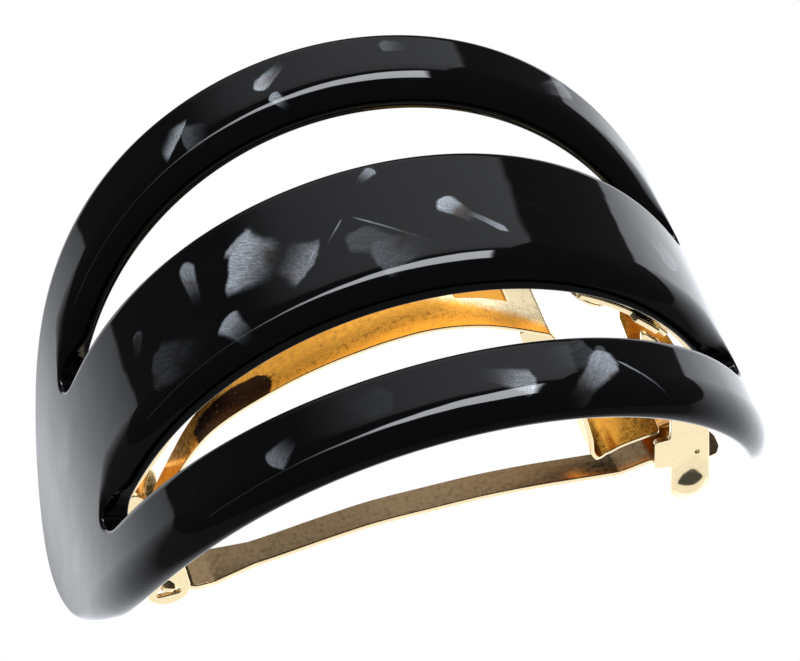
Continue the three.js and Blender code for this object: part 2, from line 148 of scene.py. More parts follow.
# ---- looks: colours, and where the flakes and the bow's painted dark reflection, a lens shape, lie ----
ACETATE_BLACK = (0.0016, 0.0016, 0.002, 1)
PEARL_SILVER = (0.86, 0.92, 1.0, 1)
PEARL_BROWN = (0.5, 0.38, 0.34, 1)
PEARL_CONTRAST = 1.7
PEARL_METAL = 0.45
FLAKE_DEPTH = 0.4
FLAKE_HALF_DEPTH = 2.2
PALE_GOLD = (0.93, 0.78, 0.5, 1)
# amber: gold reflecting gold and gold in shade, painted into the colour (painted reflection and painted
# shade)
AMBER_GOLD = (0.88, 0.4, 0.055, 1)
# brown: the swing bar's gold darkened to paint in its reflection of the black plate above it
BROWN_GOLD = (0.44, 0.3, 0.16, 1)
COPPER_GOLD = (0.4, 0.24, 0.11, 1)
TARNISH = (0.3, 0.19, 0.09, 1)
# a lens-shaped dark patch on the bow: a painted reflection of a dark thing in the polished gold
PAINTED_REFLECTION_BROWN = (0.035, 0.014, 0.006, 1)
PAINTED_REFLECTION_CENTRE = (30.2, -1.3)
PAINTED_REFLECTION_HALF_SIZE = (7.6, 2.8)

# ---- light and floor, in metres: directions are unit vectors, levels are radiance ----
TABLE_AXIS = (0.154, 0.657, -0.738)
ROOM = 0.07
SOFTBOX = 9.0
STRIP_MIDDLE = 0.12
STRIP_SLANT = 0.12
SEEN_WHITE = 1.06
WORLD_TINT = (0.95, 0.98, 1.03, 1)
CARD_DISTANCE = 0.6
OPEN_BAR_REACH = 0.09
FLOOR_REACH = 4.0

# ---- camera: place, then degrees clockwise from +Y, above the horizon and of roll ----
CAMERA_PLACE = (-76.58, -330.30, 406.62)
CAMERA_AZIMUTH = 13.171
CAMERA_ELEVATION = -47.573
CAMERA_ROLL = -3.699
CAMERA_LENS = 174.38
CAMERA_SENSOR = 36


# ---- side-view lines ----
class Line:
    """A line in the XZ plane by distance along it, with its normals to the left."""

    def __init__(self, x, z):
        step = np.hypot(np.diff(x), np.diff(z))
        self.x = np.asarray(x, float)
        self.z = np.asarray(z, float)
        self.along = np.concatenate([[0], np.cumsum(step)])
        tx = np.gradient(self.x, self.along)
        tz = np.gradient(self.z, self.along)
        size = np.hypot(tx, tz)
        self.nx = -tz / size
        self.nz = tx / size
        self.length = self.along[-1]

    def at_x(self, x):
        return float(np.interp(x, self.x, self.along))

    def place(self, offset=0.0):
        """Bend for a sheet whose upper face is offset above the line."""

        def bend(u, v, depth):
            drop = depth - offset
            x = np.interp(u, self.along, self.x) - np.interp(u, self.along, self.nx) * drop
            z = np.interp(u, self.along, self.z) - np.interp(u, self.along, self.nz) * drop
            return np.stack([x, v, z], axis=-1)

        return bend


def slope_at(arc):
    v = arc / BEND_LENGTH
    return BEND_CROWN * v + BEND_SHOULDER * v**3 - BEND_TIP * v**5


ARC_STEP = 0.1
ARC = np.arange(-820, 821) * ARC_STEP
_MIDDLE = (ARC[1:] + ARC[:-1]) / 2
_X = np.concatenate([[0], np.cumsum(np.cos(slope_at(_MIDDLE)) * ARC_STEP)])
_Z = np.concatenate([[0], -np.cumsum(np.sin(slope_at(_MIDDLE)) * ARC_STEP)])
ARC_X = _X - np.interp(0, ARC, _X)
ARC_Z = _Z - np.interp(0, ARC, _Z) + CROWN_TOP


def arch_point(arc, depth):
    """Point at a depth under the plate's outer face, at an arc length from the crown."""
    slope = slope_at(np.asarray(arc, float))
    x = np.interp(arc, ARC, ARC_X) - depth * np.sin(slope)
    z = np.interp(arc, ARC, ARC_Z) - depth * np.cos(slope)
    return x, z


def plate_bend(u, v, depth):
    x, z = arch_point(u, depth)
    return np.stack([x, v, z], axis=-1)


def catmull_rom(points, divisions):
    points = np.asarray(points, float)
    last = len(points) - 1
    result = []
    for i in range(divisions + 1):
        t = i / divisions * last
        k = min(int(t), last - 1)
        w = t - k
        p0 = points[max(k - 1, 0)]
        p1 = points[k]
        p2 = points[k + 1]
        p3 = points[min(k + 2, last)]
        v0 = (p2 - p0) / 2
        v1 = (p3 - p1) / 2
        cubic = (2 * p1 - 2 * p2 + v0 + v1) * w**3
        square = (-3 * p1 + 3 * p2 - 2 * v0 - v1) * w**2
        result.append(cubic + square + v0 * w + p1)
    return result


def folded_line(runs, fold_radius):
    """Line through several smooth runs of points, with the corners between runs rounded."""
    points = []
    for run in runs:
        smooth = len(run) > 2
        points += catmull_rom(run, 24 * (len(run) - 1)) if smooth else [np.asarray(p, float) for p in run]
    points = np.array(points)
    raw = Line(points[:, 0], points[:, 1])
    spacing = 0.08
    even = np.linspace(0, raw.length, int(raw.length / spacing))
    x = np.interp(even, raw.along, raw.x)
    z = np.interp(even, raw.along, raw.z)
    reach = max(1, int(fold_radius / spacing))
    kernel = np.hanning(2 * reach + 3)[1:-1]
    kernel /= kernel.sum()
    pad_x = np.concatenate([2 * x[0] - x[reach:0:-1], x, 2 * x[-1] - x[-2 : -reach - 2 : -1]])
    pad_z = np.concatenate([2 * z[0] - z[reach:0:-1], z, 2 * z[-1] - z[-2 : -reach - 2 : -1]])
    return Line(np.convolve(pad_x, kernel, "valid"), np.convolve(pad_z, kernel, "valid"))


def ramp(value, start, end):
    """Smooth rise from 0 at the start to 1 at the end."""
    x = np.clip((value - start) / (end - start), 0, 1)
    return x * x * (3 - 2 * x)


# ---- flat outlines ----
def rounded(points, radius, spacing=0.5):
    """Closed outline with each corner rounded and each straight side divided."""
    side_share = 0.46
    arc_step = 0.22
    points = [np.asarray(p, float) for p in points]
    corners = []
    for i, p in enumerate(points):
        before = points[i - 1]
        after = points[(i + 1) % len(points)]
        a = before - p
        b = after - p
        reach_a = np.linalg.norm(a)
        reach_b = np.linalg.norm(b)
        a /= reach_a
        b /= reach_b
        turn = math.pi - math.acos(max(-1, min(1, float(a @ b))))
        cut = min(radius * math.tan(turn / 2), side_share * reach_a, side_share * reach_b)
        steps = max(2, int(turn / arc_step))
        start = p + a * cut
        end = p + b * cut
        arc = []
        for k in range(steps + 1):
            t = k / steps
            arc.append((1 - t) ** 2 * start + 2 * t * (1 - t) * p + t**2 * end)
        corners.append(arc)
    outline = []
    for i, arc in enumerate(corners):
        outline += arc
        start = arc[-1]
        end = corners[(i + 1) % len(corners)][0]
        pieces = int(np.linalg.norm(end - start) / spacing)
        for k in range(1, pieces):
            outline.append(start + (end - start) * k / pieces)
    return thinned(np.array(outline))


def thinned(outline):
    """The outline without repeated points."""
    gap = np.linalg.norm(outline - np.roll(outline, 1, axis=0), axis=1)
    return outline[gap > 1e-4]


def circle(cx, cy, radius, count):
    t = np.arange(count) * 2 * math.pi / count
    return np.stack([cx + radius * np.cos(t), cy + radius * np.sin(t)], axis=-1)


def arc_run(cx, cy, radius, start, end, count):
    t = np.linspace(start, end, count)
    return [np.array([cx + radius * math.cos(a), cy + radius * math.sin(a)]) for a in t]


def turned_left(outline):
    """Outline that runs anticlockwise."""
    x, y = outline[:, 0], outline[:, 1]
    area = np.sum(x * np.roll(y, -1) - np.roll(x, -1) * y)
    return outline if area > 0 else outline[::-1]


def inward(outline):
    """Unit normals that point into the material, which lies left of the outline."""
    tangent = np.roll(outline, -1, axis=0) - np.roll(outline, 1, axis=0)
    tangent /= np.linalg.norm(tangent, axis=1, keepdims=True)
    return np.stack([-tangent[:, 1], tangent[:, 0]], axis=-1)


def inside(points, outline):
    """Which points lie inside a closed outline."""
    x, y = points[:, 0][:, None], points[:, 1][:, None]
    ax, ay = outline[:, 0][None], outline[:, 1][None]
    bx, by = np.roll(outline[:, 0], -1)[None], np.roll(outline[:, 1], -1)[None]
    crosses = (ay > y) != (by > y)
    at = ax + (y - ay) * (bx - ax) / np.where(by == ay, 1e-12, by - ay)
    return (np.sum(crosses & (x < at), axis=1) % 2) == 1


# ---- sheet pieces ----
def face_net(rims, grid, extra):
    """Triangles over the flat face, inside the first rim and outside the others, through added points."""
    border = np.concatenate(rims)
    edges = []
    start = 0
    for rim in rims:
        count = len(rim)
        edges += [(start + i, start + (i + 1) % count) for i in range(count)]
        start += count
    low = rims[0].min(axis=0)
    high = rims[0].max(axis=0)
    inner = []
    if grid:
        du, dv = grid
        across = np.arange(low[1] + dv / 2, high[1], dv)
        for i, u in enumerate(np.arange(low[0] + du / 2, high[0], du)):
            shift = dv / 2 if i % 2 else 0
            inner += [(u, v + shift) for v in across]
    inner += list(extra)
    if inner:
        inner = np.array(inner)
        keep = inside(inner, rims[0])
        for rim in rims[1:]:
            keep &= ~inside(inner, rim)
        inner = inner[keep]
        tree = KDTree(len(border))
        for i, p in enumerate(border):
            tree.insert((p[0], p[1], 0), i)
        tree.balance()
        room = 0.3 * min(grid) if grid else 0.1
        clear = [tree.find((p[0], p[1], 0))[2] > room for p in inner]
        inner = inner[np.array(clear, bool)]
    points = np.concatenate([border, inner]) if len(inner) else border
    result = delaunay_2d_cdt([Vector(p) for p in points], edges, [], 0, 1e-7)
    origin = [ids[0] if ids else -1 for ids in result[3]]
    triangles = np.array([[origin[k] for k in face] for face in result[2]])
    triangles = triangles[(triangles >= 0).all(axis=1)]
    centre = points[triangles].mean(axis=1)
    keep = inside(centre, rims[0])
    for rim in rims[1:]:
        keep &= ~inside(centre, rim)
    triangles = triangles[keep]
    a, b, c = points[triangles[:, 0]], points[triangles[:, 1]], points[triangles[:, 2]]
    area = (b - a)[:, 0] * (c - a)[:, 1] - (b - a)[:, 1] * (c - a)[:, 0]
    triangles[area < 0] = triangles[area < 0][:, ::-1]
    return points, triangles


def edge_rows(loops, rounds, thickness, top_steps, edge_steps):
    """Rows of points round every loop, from the upper rim over the cut edge to the lower rim.

    Each row holds flat points, depths, tilts from the upper face and the directions into the material.
    """
    normals_in = [inward(loop) for loop in loops]
    rows = []
    for k in range(top_steps + 1):
        angle = math.pi / 2 * k / top_steps
        for loop, into, (width, drop, _) in zip(loops, normals_in, rounds):
            flat = loop + (width * (1 - math.sin(angle)))[:, None] * into
            tilt = np.arctan2(drop * math.sin(angle), width * math.cos(angle))
            rows.append((flat, drop * (1 - math.cos(angle)), tilt, into))
    for k in range(edge_steps + 1):
        angle = math.pi / 2 * (1 + k / edge_steps)
        for loop, into, (_, _, lower) in zip(loops, normals_in, rounds):
            flat = loop + (lower * (1 - math.sin(angle)))[:, None] * into
            depth = thickness - lower * (1 + math.cos(angle))
            rows.append((flat, depth, np.full(len(loop), angle), into))
    return rows


def bent(place, uv, depth, tilt, into):
    """Positions and shading normals of flat points, and whether the bend mirrors the blank."""
    u, v = uv[:, 0], uv[:, 1]
    step = 0.02
    position = place(u, v, depth)
    along = unit(place(u + step, v, depth) - place(u - step, v, depth))
    across = unit(place(u, v + step, depth) - place(u, v - step, depth))
    upward = place(u, v, depth - step) - position
    normal = unit(np.cross(along, across))
    mirrored = float(np.mean(np.sum(normal * upward, axis=1))) < 0
    if mirrored:
        normal = -normal
    outward = -(into[:, :1] * along + into[:, 1:] * across)
    shading = unit(np.cos(tilt)[:, None] * normal + np.sin(tilt)[:, None] * outward)
    return position, shading, mirrored


def unit(vectors):
    return vectors / np.linalg.norm(vectors, axis=1, keepdims=True)


def edge_faces(loops, rows):
    """Quads between neighbouring rows of every loop."""
    border = sum(len(loop) for loop in loops)
    faces = []
    for k in range(rows - 1):
        start = 0
        for loop in loops:
            count = len(loop)
            for i in range(count):
                a = k * border + start + i
                b = k * border + start + (i + 1) % count
                faces.append((a, a + border, b + border, b))
            start += count
    return faces


def sheet(name, outline, place, thickness, edge, holes=(), grid=None, extra=(), top_round=None, edge_steps=4):
    """Solid sheet piece: a flat outline with holes and rounded edges, set by place(along, across, depth).

    The edges have one radius, or top_round(loop, into) gives the width and depth of the round on the upper
    face and the radius of the lower one.
    """
    loops = [turned_left(np.asarray(outline, float))]
    loops += [turned_left(np.asarray(hole, float))[::-1] for hole in holes]
    top_steps = 3 * edge_steps if top_round else edge_steps
    rounds = [
        top_round(loop, inward(loop)) if top_round else np.full((3, len(loop)), edge) for loop in loops
    ]
    rims = [loop + width[:, None] * inward(loop) for loop, (width, _, _) in zip(loops, rounds)]
    points, triangles = face_net(rims, grid, extra)
    border = sum(len(rim) for rim in rims)
    inner = points[border:]

    parts = edge_rows(loops, rounds, thickness, top_steps, edge_steps)
    for depth, angle in ((0.0, 0.0), (thickness, math.pi)):
        level = np.full(len(inner), depth)
        parts.append((inner.reshape(-1, 2), level, np.full(len(inner), angle), np.zeros((len(inner), 2))))
    uv, depth, tilt, into = (np.concatenate(column) for column in zip(*parts))
    position, shading, mirrored = bent(place, uv, depth, tilt, into)

    rows = top_steps + edge_steps + 2
    faces = edge_faces(loops, rows)
    top_inner = rows * border
    bottom_ring = (rows - 1) * border
    bottom_inner = top_inner + len(inner)
    for corners in triangles.tolist():
        top = [p if p < border else top_inner + p - border for p in corners]
        bottom = [bottom_ring + p if p < border else bottom_inner + p - border for p in corners]
        faces.append(tuple(top))
        faces.append(tuple(reversed(bottom)))
    if mirrored:
        faces = [tuple(reversed(face)) for face in faces]
    return new_piece(name, position, faces, shading, np.column_stack([uv, depth]), np.sin(tilt))


def linked_piece(name, mesh, flat):
    """Object of the mesh, which keeps its flat-blank coordinates for the materials."""
    blank = mesh.attributes.new("flat", "FLOAT_VECTOR", "POINT")
    blank.data.foreach_set("vector", np.asarray(flat, np.float32).ravel())
    piece = bpy.data.objects.new(name, mesh)
    bpy.context.scene.collection.objects.link(piece)
    return piece


def new_piece(name, position, faces, normals, flat, wall):
    """Sheet object with its own shading normals; wall says how far each point is onto a cut edge."""
    mesh = bpy.data.meshes.new(name)
    mesh.from_pydata((position * MM).tolist(), [], faces)
    mesh.shade_smooth()
    mesh.normals_split_custom_set_from_vertices(normals.tolist())
    piece = linked_piece(name, mesh, flat)
    cut = mesh.attributes.new("cut_edge", "FLOAT", "POINT")
    cut.data.foreach_set("value", np.asarray(wall, np.float32))
    return piece


def turned(name, profile, centre, axis, segments=40):
    """Round piece: profile points (radius, height) turned about an axis through centre."""
    axis = np.asarray(axis, float) / np.linalg.norm(axis)
    side = np.cross(axis, (0, 1, 0))
    if np.linalg.norm(side) < 0.1:
        side = np.cross(axis, (1, 0, 0))
    side /= np.linalg.norm(side)
    other = np.cross(axis, side)
    profile = np.asarray(profile, float)
    rows = len(profile)
    turn = np.arange(segments) * 2 * math.pi / segments
    ring = np.cos(turn)[:, None] * side + np.sin(turn)[:, None] * other
    position = []
    flat = []
    for radius, height in profile:
        position.append(np.asarray(centre) + ring * radius + axis * height)
        circle_flat = [np.cos(turn) * radius, np.sin(turn) * radius, np.full(segments, height)]
        flat.append(np.column_stack(circle_flat))
    position = np.concatenate(position)
    faces = []
    for k in range(rows - 1):
        for i in range(segments):
            a = k * segments + i
            b = k * segments + (i + 1) % segments
            faces.append((a, b, b + segments, a + segments))
    faces.append(tuple(reversed(range(segments))))
    faces.append(tuple(range((rows - 1) * segments, rows * segments)))
    mesh = bpy.data.meshes.new(name)
    mesh.from_pydata((position * MM).tolist(), [], faces)
    mesh.validate()
    mesh.shade_smooth()
    mesh.set_sharp_from_angle(angle=math.radians(50))
    return linked_piece(name, mesh, np.concatenate(flat))


def disc_profile(radius, low, high, edge=0.25, steps=4):
    """Profile of a round disc with rounded rims."""
    points = []
    for k in range(steps + 1):
        a = math.pi / 2 * k / steps
        points.append((radius - edge + edge * math.sin(a), low + edge - edge * math.cos(a)))
    for k in range(steps + 1):
        a = math.pi / 2 * k / steps
        points.append((radius - edge + edge * math.cos(a), high - edge + edge * math.sin(a)))
    return points


# ---- acetate plate ----
def slot_outline(side):
    straight = SLOT_HALF_LENGTH - SLOT_END_ROUND

    def edge(arc, sign, close):
        u = min(1, abs(arc) / SLOT_HALF_LENGTH) ** 2
        middle = SLOT_MIDDLE_Y + (SLOT_TIP_Y - SLOT_MIDDLE_Y) * u
        half = SLOT_HALF_WIDTH + (SLOT_TIP_HALF_WIDTH - SLOT_HALF_WIDTH) * u
        return (arc, side * (middle + sign * half * close))

    run = [edge(arc, 1, 1) for arc in np.linspace(-straight, straight, 120)]
    ends = 14
    for end in (1, -1):
        for k in range(1, 2 * ends):
            a = math.pi / 2 * k / ends
            run.append(edge(end * (straight + SLOT_END_ROUND * math.sin(a)), end * 1, math.cos(a)))
        if end == 1:
            run += [edge(arc, -1, 1) for arc in np.linspace(straight, -straight, 120)]
    return thinned(np.array(run))


def plate_round(loop, into):
    """Pillowed upper edge, broad on edges that face -Y and crisp at the slot tips, and the lower arris."""
    along, across = loop[:, 0], loop[:, 1]
    facing = ramp(into[:, 1], *FRONT_FACING_ZONE)
    on_slot = np.abs(across).max() < SLOT_MIDDLE_Y + SLOT_HALF_WIDTH + 1
    lower = SLOT_ARRIS if on_slot else OUTER_ARRIS
    front_round = (FRONT_ROUND_WIDTH, PLATE_THICKNESS - lower - 0.1)
    rounds = [rear + (front - rear) * facing for front, rear in zip(front_round, REAR_ROUND)]
    tip = ramp(np.abs(along), *(SLOT_TIP_ZONE if on_slot else PLATE_TIP_ZONE))
    upper = [wide + (crisp - wide) * tip for wide, crisp in zip(rounds, TIP_ROUND)]
    return [*upper, np.full(len(loop), lower)]


def make_plate():
    count = 520
    t = np.arange(count) * 2 * math.pi / count
    outer = np.stack([BLANK_HALF_LENGTH * np.cos(t), BLANK_HALF_WIDTH * np.sin(t)], axis=-1)
    holes = [slot_outline(1), slot_outline(-1)]
    return sheet(
        "acetate_plate",
        outer,
        plate_bend,
        PLATE_THICKNESS,
        SLOT_ARRIS,
        holes,
        grid=(1.2, 1.4),
        top_round=plate_round,
    )


# ---- base plate, ears and rivets ----
def base_depth(arc):
    touch, leave = BASE_LEFT if arc < 0 else BASE_RIGHT
    return BASE_DEPTH_MIDDLE + (BASE_DEPTH_TOUCH - BASE_DEPTH_MIDDLE) * ramp(arc, leave, touch)


def under_line(start, end, extra):
    """Line that follows the base plate's upper face, extra below it, between two arc positions."""
    arcs = np.arange(start, end + 0.01, 0.5)
    points = [arch_point(arc, base_depth(arc) + extra) for arc in arcs]
    return Line([p[0] for p in points], [p[1] for p in points])


def make_base():
    line = under_line(-BASE_END, BASE_END, 0)
    centre = CLIP_HALF_WIDTH
    outline = arc_run(centre, 0, CLIP_HALF_WIDTH, math.pi / 2, 3 * math.pi / 2, 28)
    outline += [np.array([u, -CLIP_HALF_WIDTH]) for u in np.arange(centre + 1, line.length - centre, 1.2)]
    outline += arc_run(line.length - centre, 0, CLIP_HALF_WIDTH, -math.pi / 2, math.pi / 2, 28)
    outline += [np.array([u, CLIP_HALF_WIDTH]) for u in np.arange(line.length - centre - 1, centre, -1.2)]
    return sheet("base_strip", np.array(outline), line.place(), SHEET, METAL_EDGE, grid=(1.1, 1.6))


def side_place(side, outer_y, relief=None):
    """Flat sheet in the XZ plane whose outer face is at outer_y, with an optional raised relief."""

    def place(u, v, depth):
        rise = relief(u, v) if relief else 0.0
        y = side * (outer_y + rise - depth) + 0 * u
        return np.stack([u, y, v], axis=-1)

    return place


def make_ear(side, name):
    """Flange folded down from the base plate, with a lobed hole for the bar and a round one for the bow."""
    px, pz = PIVOT
    root_arc, crest_arc = EAR_ARCS
    root = arch_point(root_arc, BASE_DEPTH_TOUCH + SHEET / 2)
    crest = arch_point(crest_arc, base_depth(crest_arc) + SHEET / 2)
    outline = [root, (px - EAR_RADIUS, pz + 1.5)]
    outline += arc_run(px, pz, EAR_RADIUS, math.pi, 2 * math.pi, 9)
    outline += [EAR_FRONT_TOP, crest]
    hole = []
    lobe_reach = 1.4
    lobe_radius = 0.5
    for i in range(3):
        angle = math.pi / 2 + i * 2 * math.pi / 3
        cx = px + lobe_reach * math.cos(angle)
        cz = pz + lobe_reach * math.sin(angle)
        hole += arc_run(cx, cz, lobe_radius, angle - math.pi / 3, angle + math.pi / 3, 7)
    bow_hole = circle(*BOW_AXIS, BOW_LUG_RADIUS + CLEARANCE, 20)
    return sheet(
        name,
        rounded(outline, 1.2),
        side_place(side, CLIP_HALF_WIDTH),
        SHEET,
        METAL_EDGE,
        holes=[np.array(hole), bow_hole],
    )


def make_rivet(name, arc):
    slope = slope_at(arc)
    down = (-math.sin(slope), 0, -math.cos(slope))
    x, z = arch_point(arc, PLATE_THICKNESS)
    head_top = CLEARANCE + SHEET + CLEARANCE
    profile = [(RIVET_SHANK_RADIUS, -RIVET_SHANK_BURIED), (RIVET_SHANK_RADIUS, head_top)]
    profile += disc_profile(RIVET_HEAD_RADIUS, head_top, head_top + RIVET_HEAD_HEIGHT)
    return turned(name, profile, (x, 0, z), down, 32)


# ---- swing bar ----
def make_bar():
    flat = BAR_THICKNESS / 2
    line = folded_line(
        [
            [(-35.4, 0.6), (-33.6, -0.3), (-31, -1.9)],
            [(-28, -2.5), (-20, -1.7), (-12, -0.5), (-6, 0.25), (-2, flat)],
            [(8, flat), (12, 0.3), (18, -0.2), (24, -0.95), (29.8, -1.7)],
            [(31.2, -1.5), (33.5, -1), (36.4, -0.6), (40, -1), (44.6, -2.6)],
        ],
        0.5,
    )
    half = [
        (-35.4, BAR_LUG_HALF_WIDTH),
        (-33.6, BAR_LUG_HALF_WIDTH),
        (-33.6, BAR_HEAD_HALF_WIDTH),
        (-30, BAR_HEAD_HALF_WIDTH),
        (-26.5, 2.7),
        (-22, BAR_HALF_WIDTH),
        (34.6, BAR_HALF_WIDTH),
        (35.2, BAR_TONGUE_HALF_WIDTH),
        (42.6, BAR_TONGUE_HALF_WIDTH),
        (43.8, 2.4),
        (44.6, 1),
    ]
    outline = [(line.at_x(x), y) for x, y in half]
    outline += [(u, -y) for u, y in reversed(outline)]
    return sheet(
        "swing_bar_leaf",
        rounded(outline, 1.1),
        line.place(BAR_THICKNESS / 2),
        BAR_THICKNESS,
        BAR_EDGE,
        grid=(0.7, 1.0),
    )


# ---- bow spring ----
def bow_line():
    return folded_line(
        [
            [
                BOW_AXIS, (-34.2, 12), (-32.6, 16), (-28.4, 24), (-23.7, 29.1), (-14.8, 34.3),
                (-6.2, 37.6), (2.3, 39), (10.8, 37.4), (19.5, 32.8),
            ],
            [(20.4, 31), (22.2, 24), (24.2, 15), (25.2, 9.6)],
            [(25.3, 7), (26.2, 5.4), (27.8, 5.2), (29.6, 5.9), (32, 6.4), (35.2, 6.9)],
        ],
        0.6,
    )


def make_bow():
    line = bow_line()
    half = [
        (-35.2, BOW_NECK_HALF_WIDTH),
        (-30, BOW_NECK_HALF_WIDTH),
        (-14.8, 3.3),
        (-6.2, 4.1),
        (0, BOW_HALF_WIDTH),
        (26, BOW_HALF_WIDTH),
        (27.5, BOW_FOOT_HALF_WIDTH),
        (35.5, BOW_FOOT_HALF_WIDTH),
    ]
    outline = [(line.at_x(x), y) for x, y in half]
    outline += [(u, -y) for u, y in reversed(outline)]
    start, end = (line.at_x(x) for x in BOW_WINDOW_X)
    near, far = BOW_WINDOW_Y
    window = rounded([(start, near), (end, near), (end, far), (start, far)], 0.4, 0.4)
    return sheet(
        "bow_leaf",
        rounded(outline, 0.6),
        line.place(BOW_THICKNESS / 2),
        BOW_THICKNESS,
        METAL_EDGE,
        holes=[window],
        grid=(0.7, 1.1),
    )


def make_gusset(side, name):
    """Flange folded down from the bow's edge: short at the front, under the window at the rear."""
    knee = [(19.6, 32.6), (20.3, 31.2), (19.2, 29.6)]
    if side < 0:
        outline = [*knee, (16, 31.6), (15.4, 35.1)]
    else:
        outline = [*knee, (16, 30.6), (10.5, 32.8), (7, 35), (6, 38.4), (10.8, 37.2), (15.4, 35.1)]
    return sheet(
        name, rounded(outline, 0.7), side_place(side, BOW_HALF_WIDTH), BOW_THICKNESS, METAL_EDGE
    )


def make_bow_pin():
    profile = disc_profile(BOW_LUG_RADIUS, -CLIP_HALF_WIDTH, CLIP_HALF_WIDTH, 0.15, 3)
    return turned("bow_pin", profile, (BOW_AXIS[0], 0, BOW_AXIS[1]), (0, 1, 0), 24)


# ---- catch ----
def make_saddle():
    line = under_line(SADDLE_FROM, SADDLE_TO, SHEET + CLEARANCE)
    from_lug, to_lug = (line.at_x(x) for x in SADDLE_LUG)
    half = [
        (0, SADDLE_HALF_WIDTH),
        (from_lug - 0.5, SADDLE_HALF_WIDTH),
        (from_lug, ARM_OUTER_Y),
        (to_lug, ARM_OUTER_Y),
        (to_lug + 0.5, SADDLE_HALF_WIDTH),
        (line.length, SADDLE_HALF_WIDTH),
    ]
    outline = half + [(u, -y) for u, y in reversed(half)]
    return sheet("catch_saddle_leaf", rounded(outline, 0.5), line.place(), SHEET, METAL_EDGE, grid=(1.1, 1.6))


def make_catch_rivet():
    tilt_line = under_line(CATCH_RIVET_ARC - 0.5, CATCH_RIVET_ARC + 0.5, 0)
    nx, nz = tilt_line.nx[1], tilt_line.nz[1]
    x, z = arch_point(CATCH_RIVET_ARC, base_depth(CATCH_RIVET_ARC))
    head_top = 2 * SHEET + 2 * CLEARANCE + CATCH_RIVET_BOW
    clench_top, clench_base = CATCH_RIVET_CLENCH_SPAN
    profile = disc_profile(CATCH_RIVET_CLENCH, clench_top, clench_base, 0.2)
    profile += [(CATCH_RIVET_SHANK, clench_base), (CATCH_RIVET_SHANK, head_top)]
    profile += disc_profile(CATCH_RIVET_HEAD, head_top, head_top + CATCH_RIVET_HEAD_HEIGHT, 0.3)
    return turned("catch_rivet_turned", profile, (x, 0, z), (-nx, 0, -nz), 48)


def dome(u, v):
    """Height of the finger pad's dome."""
    sphere = (DOME_RADIUS**2 + DOME_HEIGHT**2) / (2 * DOME_HEIGHT)
    distance = np.hypot(u - PAD_CENTRE[0], v - PAD_CENTRE[1])
    rise = np.sqrt(np.maximum(sphere**2 - distance**2, 0)) - (sphere - DOME_HEIGHT)
    return np.maximum(rise, 0)


def make_arm(side, name):
    px, pz = PAD_CENTRE
    outline = [(31.9, 30.2), (32.1, 22.4), (33.2, 18), (36.2, 11.4), (36.2, 6.9), (33.9, 6.9), (33.9, 1.4)]
    outline += [(36.3, 1.0)]
    outline += arc_run(px, pz, PAD_RADIUS, math.pi, 2 * math.pi, 12)
    outline += [(41.6, 10), (37.6, 20), (35.5, 25.3), (34.1, 27.5)]
    rings = []
    for k in range(1, 12):
        rings += [tuple(p) for p in circle(px, pz, DOME_RADIUS * k / 11, 8 + 3 * k)]
    return sheet(
        name,
        rounded(outline, 0.6),
        side_place(side, ARM_OUTER_Y, dome),
        SHEET,
        METAL_EDGE,
        holes=[circle(*ARM_HOLE, 14)],
        extra=rings,
    )


# ---- materials ----
class Nodes:
    """Short way to build a node tree."""

    def __init__(self, tree):
        self.tree = tree

    def add(self, kind, **settings):
        node = self.tree.nodes.new(kind)
        inputs = settings.pop("inputs", {})
        for key, value in settings.items():
            setattr(node, key, value)
        for key, value in inputs.items():
            self.feed(node.inputs[key], value)
        return node

    def feed(self, socket, value):
        if isinstance(value, bpy.types.NodeSocket):
            self.tree.links.new(value, socket)
        else:
            socket.default_value = value

    def math(self, operation, a, b=0.0, c=0.0, clamp=False):
        node = self.add("ShaderNodeMath", operation=operation, use_clamp=clamp)
        for socket, value in zip(node.inputs, (a, b, c)):
            self.feed(socket, value)
        return node.outputs[0]

    def times(self, a, b):
        return self.math("MULTIPLY", a, b)

    def vector_math(self, operation, a, b):
        node = self.add("ShaderNodeVectorMath", operation=operation)
        self.feed(node.inputs[0], a)
        self.feed(node.inputs[1], b)
        return node

    def parts(self, vector):
        """The vector's three numbers."""
        node = self.add("ShaderNodeSeparateXYZ")
        self.feed(node.inputs[0], vector)
        return node.outputs

    def remap(self, value, low, high, to_low=0.0, to_high=1.0, smooth=True):
        node = self.add("ShaderNodeMapRange")
        node.interpolation_type = "SMOOTHSTEP" if smooth else "LINEAR"
        ends = {"From Min": low, "From Max": high, "To Min": to_low, "To Max": to_high}
        self.feed(node.inputs["Value"], value)
        for key, entry in ends.items():
            self.feed(node.inputs[key], entry)
        return node.outputs["Result"]

    def noise(self, vector, scale, detail=2.0, roughness=0.5, distortion=0.0):
        node = self.add("ShaderNodeTexNoise")
        self.feed(node.inputs["Vector"], vector)
        node.inputs["Scale"].default_value = scale
        node.inputs["Detail"].default_value = detail
        node.inputs["Roughness"].default_value = roughness
        node.inputs["Distortion"].default_value = distortion
        return node.outputs["Fac"]

    def mapped(self, vector, location=(0, 0, 0), rotation=(0, 0, 0), scale=(1, 1, 1), kind="POINT"):
        node = self.add("ShaderNodeMapping", vector_type=kind)
        self.feed(node.inputs["Vector"], vector)
        node.inputs["Location"].default_value = location
        node.inputs["Rotation"].default_value = rotation
        node.inputs["Scale"].default_value = scale
        return node.outputs[0]

    def mix(self, factor, a, b):
        node = self.add("ShaderNodeMix", data_type="RGBA")
        self.feed(node.inputs[0], factor)
        self.feed(node.inputs[6], a)
        self.feed(node.inputs[7], b)
        return node.outputs[2]

    def bump(self, height, distance, strength=1.0, normal=None):
        node = self.add("ShaderNodeBump")
        node.inputs["Strength"].default_value = strength
        node.inputs["Distance"].default_value = distance
        self.feed(node.inputs["Height"], height)
        if normal is not None:
            self.feed(node.inputs["Normal"], normal)
        return node.outputs[0]


